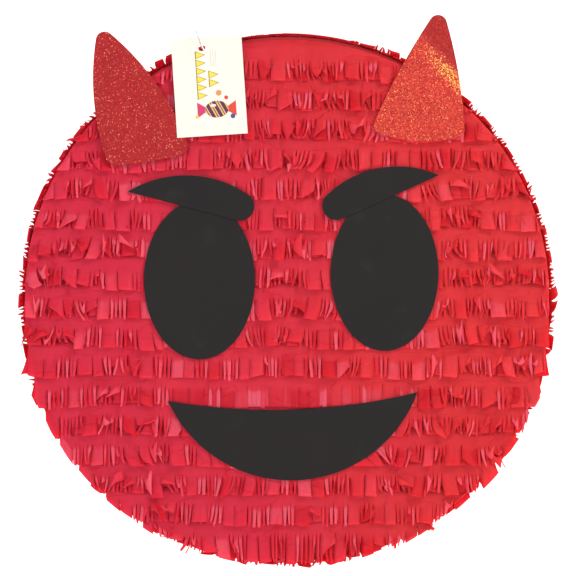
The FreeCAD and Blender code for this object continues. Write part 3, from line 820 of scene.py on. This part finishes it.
def make_front_fringe(looks):
    """Seventeen rows on the face, held flat where card or foam is glued over them."""
    cards = Outlines(CARD_NODES + HORN_NODES)
    tag_reach = np.hypot(*(node_points("hang_tag")[:, [0, 2]] - np.array(TAG_PIVOT)[[0, 2]]).T)

    def calm(x, z):
        """Held flat where card or foam covers it, and free a little way off."""
        return ease(cards.gap(x, z) / CARD_HOLD)

    def ceiling(x, z):
        """Less room under the tag, as far as it swings."""
        away = np.hypot(x - TAG_PIVOT[0], z - TAG_PIVOT[2])
        return np.where(away < tag_reach.max() + TAG_MARGIN, TAG_ROOM, FACE_ROOM)

    names = node_names("front_row_")
    lowest = min(names, key=lambda name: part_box(name)[0].z)
    highest = max(names, key=lambda name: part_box(name)[1].z)
    for order, name in enumerate(names):
        foot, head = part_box(name)[0].z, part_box(name)[1].z
        reach = row_span(foot, head)
        level = (foot + head) / 2 - CENTRE_Z
        end = foot - (SPILL if name == lowest else 0)
        if name == highest:
            head = CENTRE_Z + COVER_RADIUS

        def messy(x, level=level):
            """A smooth bump of ruffle about each place that has been handled."""
            bumps = [np.exp(-((x - px) ** 2 + (level - pz) ** 2) / size ** 2)
                     for px, pz, size in RUFFLED]
            return 0.85 * np.max(bumps, axis=0)

        def tips(along, end=end):
            """Trimmed a little outside the round edge, so that tabs hang past it."""
            half = np.sqrt(np.clip((COVER_RADIUS + SPILL) ** 2 - along ** 2, 0, None))
            return np.maximum(CENTRE_Z - half, end)

        hang = Hanging(foot, head, disc_limits, calm, messy, ceiling, FACE_REST, tips=tips)
        grids = fringe_strip(np.random.default_rng(100 + order), (-reach, reach), hang, looks)
        paper_piece(name, grids, on_front, face_outward(-1), looks)


def on_front(along, height, lift):
    """A place on the face: along towards +X, height up, lift towards the viewer."""
    return along, -(FACE_BASE + lift), height


def on_back(along, height, lift):
    """A place on the back: along towards +X, height up, lift away from the drum."""
    return along, FACE_BASE + lift, height


def back_room(x, z):
    """The same room everywhere on the back."""
    return np.full(x.shape, BACK_ROOM)


def back_mess(x):
    """Nothing has ruffled the back."""
    return np.zeros(x.shape)


def make_back_fringe(looks):
    """Seventeen rows on the back, cut away round the door and flat along its fold."""
    edge = DOOR_HIGH.x + DOOR_GAP
    foot_of_door = DOOR_LOW.z - DOOR_GAP
    above_fold = HINGE_Z + FOLD_GAP

    def calm(x, z):
        """Held flat beside the door and for the height of a tab above its fold."""
        beside = ease((np.abs(x) - edge - MM) / DOOR_HOLD)
        near = (z < above_fold + 24 * MM) & (z > foot_of_door - 2 * MM)
        return np.where(near, beside, 1.0)

    names = node_names("back_row_")
    highest = max(names, key=lambda name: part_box(name)[1].z)
    for order, name in enumerate(names):
        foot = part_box(name.replace("back", "front"))[0].z
        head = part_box(name.replace("back", "front"))[1].z
        reach = row_span(foot, head)
        rng = np.random.default_rng(200 + order)
        crosses = foot < above_fold - MM and head > foot_of_door
        if name == highest:
            head = CENTRE_Z + COVER_RADIUS
        spans = [(-reach, reach, -1.0, 1.0)]
        if crosses:
            spans = [(-reach, -edge, -1.0, 1.0), (edge, reach, -1.0, 1.0)]
            if head > above_fold + SHORTEST:
                spans.append((-edge, edge, above_fold, 1.0))
            if foot < foot_of_door - SHORTEST:
                spans.append((-edge, edge, -1.0, foot_of_door))
        grids = []
        for start, end, bottom, top in spans:
            def limits(along, bottom=bottom, top=top):
                """The round face, less what this span leaves for the door."""
                low, high = disc_limits(along)
                return np.maximum(low, bottom), np.minimum(high, top)

            def tips(along, limits=limits, foot=foot):
                """Kept a little above the fold, so that the door clears them as it opens."""
                low = np.maximum(limits(along)[0], foot)
                over = (np.abs(along) < edge + 4 * MM) & (np.abs(low - above_fold) < 3 * MM)
                return np.where(over, above_fold + FOLD_CLEARANCE, low)

            hang = Hanging(foot, head, limits, calm, back_mess, back_room, FACE_REST, tips=tips)
            grids += fringe_strip(rng, (start, end), hang, looks)
        paper_piece(name, grids, on_back, face_outward(1), looks)


def make_flap_fringe(looks):
    """The rows glued on the door, trimmed to its outline."""
    low_end, high_end = DOOR_COVER_LOW, DOOR_COVER_HIGH
    rng = np.random.default_rng(300)

    def limits(along):
        """The door's lower and upper edge."""
        return np.full(along.shape, low_end.z), np.full(along.shape, high_end.z)

    def calm(x, z):
        """Held flat along the sides of the door and under its fold."""
        beside = ease((high_end.x - MM - np.abs(x)) / DOOR_HOLD)
        return beside * ease((HINGE_Z - FOLD_HOLD - z) / 0.01)

    grids = []
    for name in node_names("front_row_"):
        foot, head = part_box(name)[0].z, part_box(name)[1].z
        if foot < high_end.z and head > low_end.z:
            hang = Hanging(foot, head, limits, calm, back_mess, back_room, FACE_REST)
            grids += fringe_strip(rng, (low_end.x, high_end.x), hang, looks)
    paper_piece("flap_rows", grids, on_back, face_outward(1), looks, body="flap")


def round_band(along, height, lift):
    """Along is measured round the band from its top, towards +X, and height towards the back."""
    turn = along / BAND_RADIUS
    reach = BAND_RADIUS + lift
    return reach * np.sin(turn), height, CENTRE_Z + reach * np.cos(turn)


def band_outward(places):
    """Away from the drum's middle line, at each place."""
    out = places - np.array([0.0, 0.0, CENTRE_Z])
    out[:, 1] = 0
    return out


def make_side_fringe(looks):
    """Four rings round the band, their tabs towards the face and flared past its outline."""
    around = 2 * math.pi * BAND_RADIUS
    loop_at = LOOP_STATION * BAND_RADIUS
    post_end = LOOP_PIVOT[1] + POST_REACH

    def from_hole(along):
        """Distance round the band from the hanging hole."""
        return np.abs((along + around / 2) % around - around / 2)

    def from_loop(along):
        """Distance round the band from the tag's loop."""
        return np.abs((along - loop_at + around / 2) % around - around / 2)

    for order, name in enumerate(node_names("side_row_")):
        foot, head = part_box(name)[0].y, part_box(name)[1].y

        def limits(along, foot=foot, head=head):
            """The ring's two edges, cut away round the hanging hole and the loop's post."""
            inside = np.sqrt(np.clip(HANGING_HOLE ** 2 - from_hole(along) ** 2, 0, None))
            low, high = np.full(along.shape, foot), np.full(along.shape, head)
            if -HANGING_HOLE < head < HANGING_HOLE:
                high = np.where(inside > 0, np.minimum(high, -inside), high)
            if -HANGING_HOLE < foot < HANGING_HOLE:
                low = np.where(inside > 0, np.maximum(low, inside), low)
            if foot < post_end:
                low = np.where(from_loop(along) < LOOP_NOTCH, np.maximum(low, post_end), low)
            return low, high

        def calm(along, height, foot=foot):
            """Held flat beside the hole, the post and, in the first ring, the top."""
            near_hole = ease((from_hole(along) - HANGING_HOLE) / HOLE_HOLD)
            near_loop = ease((from_loop(along) - LOOP_NOTCH) / LOOP_HOLD)
            smooth_top = ease((from_hole(along) - 0.045) / 0.04) if foot < post_end else 1.0
            return smooth_top * np.where(height < post_end + 3 * MM, near_loop, 1.0) * np.where(
                np.abs(height) < 14 * MM, near_hole, 1.0)

        def messy(along):
            """More in some stretches of the rim than in others, and none at the top."""
            patch = 0.5 + 0.5 * np.sin(along / 0.047) * np.sin(along / 0.019 + 1)
            return (0.2 + 0.55 * patch) * ease((from_hole(along) - 0.075) / 0.03) - 0.22

        def ceiling(along, height):
            """The same room all round."""
            return np.full(along.shape, BAND_ROOM)

        hang = Hanging(foot, head, limits, calm, messy, ceiling, BAND_REST, waves=0.0)
        grids = fringe_strip(np.random.default_rng(400 + order), (0.0, around), hang, looks)
        paper_piece(name, grids, round_band, band_outward, looks)


def make_flap_tape():
    """One strip of tape over the fold, in place of its two halves: a flat grid that rises by
    a hair between its long edges, so that its edges lie tight."""
    low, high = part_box("flap_tape_moving")[0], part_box("flap_tape_fixed")[1]
    x, z = np.meshgrid(np.linspace(low.x, high.x, TAPE_COLUMNS),
                       np.linspace(low.z, high.z, TAPE_ROWS), indexing="ij")
    crown = np.sin(np.linspace(0, math.pi, TAPE_ROWS))
    y = low.y + TAPE_LIFT + TAPE_CROWN * crown[None, :] * np.ones((TAPE_COLUMNS, 1))
    points = np.stack([x, y, z], axis=-1).reshape(-1, 3)
    index = np.arange(TAPE_COLUMNS * TAPE_ROWS).reshape(TAPE_COLUMNS, TAPE_ROWS)
    quads = np.stack([index[:-1, :-1], index[:-1, 1:], index[1:, 1:], index[1:, :-1]],
                     axis=-1).reshape(-1, 4)
    piece = new_object("flap_tape", points, quads)
    make_paper(piece, "paper_tape", TAPE_THICKNESS)
    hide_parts("flap_tape_fixed", "flap_tape_moving")
    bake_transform(piece)


# ---------------------------------------------------------------- stage

def make_stage(studio):
    """A pale sweep, four soft lights, a pale world, and the camera straight in front.

    The sweep is a profile carried across: a flat floor, a quarter circle and an upright wall."""
    bend = np.linspace(0, math.pi / 2, 24)
    wall_y = SWEEP_BEND_FROM + SWEEP_BEND_RADIUS
    profile_y = np.concatenate([[SWEEP_FRONT], SWEEP_BEND_FROM + SWEEP_BEND_RADIUS * np.sin(bend),
                                [wall_y]])
    profile_z = np.concatenate([[0.0], SWEEP_BEND_RADIUS - SWEEP_BEND_RADIUS * np.cos(bend),
                                [SWEEP_HEIGHT]])
    floor_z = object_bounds()[0][2] - SWEEP_BELOW
    width = np.linspace(-SWEEP_HALF_WIDTH, SWEEP_HALF_WIDTH, 2)
    points = np.stack([np.repeat(width, profile_y.size), np.tile(profile_y, 2),
                       np.tile(profile_z, 2) + floor_z], axis=1)
    index = np.arange(points.shape[0]).reshape(2, -1)
    quads = np.stack([index[0, :-1], index[1, :-1], index[1, 1:], index[0, 1:]], axis=1)
    sweep = new_object("sweep", points, quads)
    paper = Finish("pale_sweep", Specular_IOR_Level=0.1, Emission_Strength=0.62,
                   Emission_Color=(1, 1, 1, 1))
    sweep.data.materials.append(paper.set(Base_Color=(0.93, 0.93, 0.93, 1), Roughness=0.9))
    sweep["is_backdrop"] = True

    middle = np.array([0.0, 0.0, CENTRE_Z])
    for name, place, size, power, colour in LAMPS:
        light = bpy.data.lights.new(name, "AREA")
        light.shape = "DISK"
        light.size = size
        light.energy = power * studio.light
        light.color = colour
        lamp = bpy.data.objects.new(name, light)
        lamp.location = middle + np.array(place)
        aim = Vector(middle) - lamp.location
        lamp.rotation_euler = aim.to_track_quat("-Z", "Y").to_euler()
        bpy.context.scene.collection.objects.link(lamp)

    world = bpy.data.worlds.new("pale")
    world.use_nodes = True
    world.node_tree.nodes["Background"].inputs["Color"].default_value = (1.0, 1.0, 1.0, 1)
    world.node_tree.nodes["Background"].inputs["Strength"].default_value = 0.55
    bpy.context.scene.world = world
    bpy.context.scene.view_settings.view_transform = "Standard"

    eye = bpy.data.cameras.new("camera")
    eye.lens = studio.lens
    camera = bpy.data.objects.new("camera", eye)
    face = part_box("left_eye")[0].y
    camera.location = (0.9 * MM, face - studio.distance, CENTRE_Z + 9 * MM)
    camera.rotation_euler = (math.pi / 2, 0, 0)
    bpy.context.scene.collection.objects.link(camera)
    bpy.context.scene.camera = camera


# ---------------------------------------------------------------- operators

class PINATA_OT_stage(bpy.types.Operator):
    """Set up the sweep, lights, world and camera"""
    bl_idname = "pinata.stage"
    bl_label = "Stage"

    def execute(self, context):
        make_stage(context.scene.pinata_stage)
        return {"FINISHED"}


class PINATA_OT_boards(bpy.types.Operator):
    """Finish the cardboard drum, its door and the tapes that join it"""
    bl_idname = "pinata.boards"
    bl_label = "Boards and tapes"

    def execute(self, context):
        cover(BOARD_NODES, "cardboard")
        cover(("seam_tapes", "flap_tape_fixed", "flap_tape_moving"), "paper_tape")
        cover(("front_edge_tape", "back_edge_tape"), "red_paper")
        make_flap_tape()
        return {"FINISHED"}


class PINATA_OT_front_fringe(bpy.types.Operator):
    """Hang the rows of cut tissue on the face"""
    bl_idname = "pinata.front_fringe"
    bl_label = "Front fringe"

    def execute(self, context):
        make_front_fringe(context.scene.pinata_fringe)
        return {"FINISHED"}


class PINATA_OT_back_fringe(bpy.types.Operator):
    """Hang the rows of cut tissue on the back and on the door"""
    bl_idname = "pinata.back_fringe"
    bl_label = "Back fringe"

    def execute(self, context):
        make_back_fringe(context.scene.pinata_fringe)
        make_flap_fringe(context.scene.pinata_fringe)
        return {"FINISHED"}


class PINATA_OT_side_fringe(bpy.types.Operator):
    """Wrap the rings of cut tissue round the band"""
    bl_idname = "pinata.side_fringe"
    bl_label = "Side fringe"

    def execute(self, context):
        make_side_fringe(context.scene.pinata_fringe)
        return {"FINISHED"}


class PINATA_OT_face(bpy.types.Operator):
    """Finish the card eyes, brows and mouth, and the glitter foam horns"""
    bl_idname = "pinata.face"
    bl_label = "Face and horns"

    def execute(self, context):
        cover(CARD_NODES, "black_card")
        cover(HORN_NODES, "glitter_foam")
        return {"FINISHED"}


class PINATA_OT_tag(bpy.types.Operator):
    """Print the hang tag and finish its loop and anchor"""
    bl_idname = "pinata.tag"
    bl_label = "Hang tag"

    def execute(self, context):
        cover(("hang_tag",), "tag_card")
        cover(("tag_loop", "tag_anchor"), "clear_plastic")
        return {"FINISHED"}


OPERATORS = (PINATA_OT_stage, PINATA_OT_boards, PINATA_OT_front_fringe, PINATA_OT_back_fringe,
             PINATA_OT_side_fringe, PINATA_OT_face, PINATA_OT_tag)


class VIEW3D_PT_pinata(bpy.types.Panel):
    """Lists the sizes, the colours and the steps"""
    bl_label = "Pinata"
    bl_space_type = "VIEW_3D"
    bl_region_type = "UI"
    bl_category = "Pinata"

    def draw(self, context):
        for group in ("pinata_fringe", "pinata_colours", "pinata_stage"):
            settings = getattr(context.scene, group)
            for name in settings.__annotations__:
                self.layout.prop(settings, name)
        for step in OPERATORS:
            self.layout.operator(step.bl_idname)


CLASSES = (PinataFringe, PinataColours, PinataStage, *OPERATORS, VIEW3D_PT_pinata)


def register():
    """Add the classes, and the settings to the scene."""
    for item in CLASSES:
        bpy.utils.register_class(item)
    bpy.types.Scene.pinata_fringe = bpy.props.PointerProperty(type=PinataFringe)
    bpy.types.Scene.pinata_colours = bpy.props.PointerProperty(type=PinataColours)
    bpy.types.Scene.pinata_stage = bpy.props.PointerProperty(type=PinataStage)


def unregister():
    """Take away what register added."""
    del bpy.types.Scene.pinata_stage
    del bpy.types.Scene.pinata_colours
    del bpy.types.Scene.pinata_fringe
    for item in reversed(CLASSES):
        bpy.utils.unregister_class(item)


def main():
    """Build every piece in order."""
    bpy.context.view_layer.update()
    register()
    bpy.ops.pinata.stage()
    bpy.ops.pinata.boards()
    bpy.ops.pinata.front_fringe()
    bpy.ops.pinata.back_fringe()
    bpy.ops.pinata.side_fringe()
    bpy.ops.pinata.face()
    bpy.ops.pinata.tag()
    bpy.context.view_layer.update()


if __name__ == "__main__":
    main()
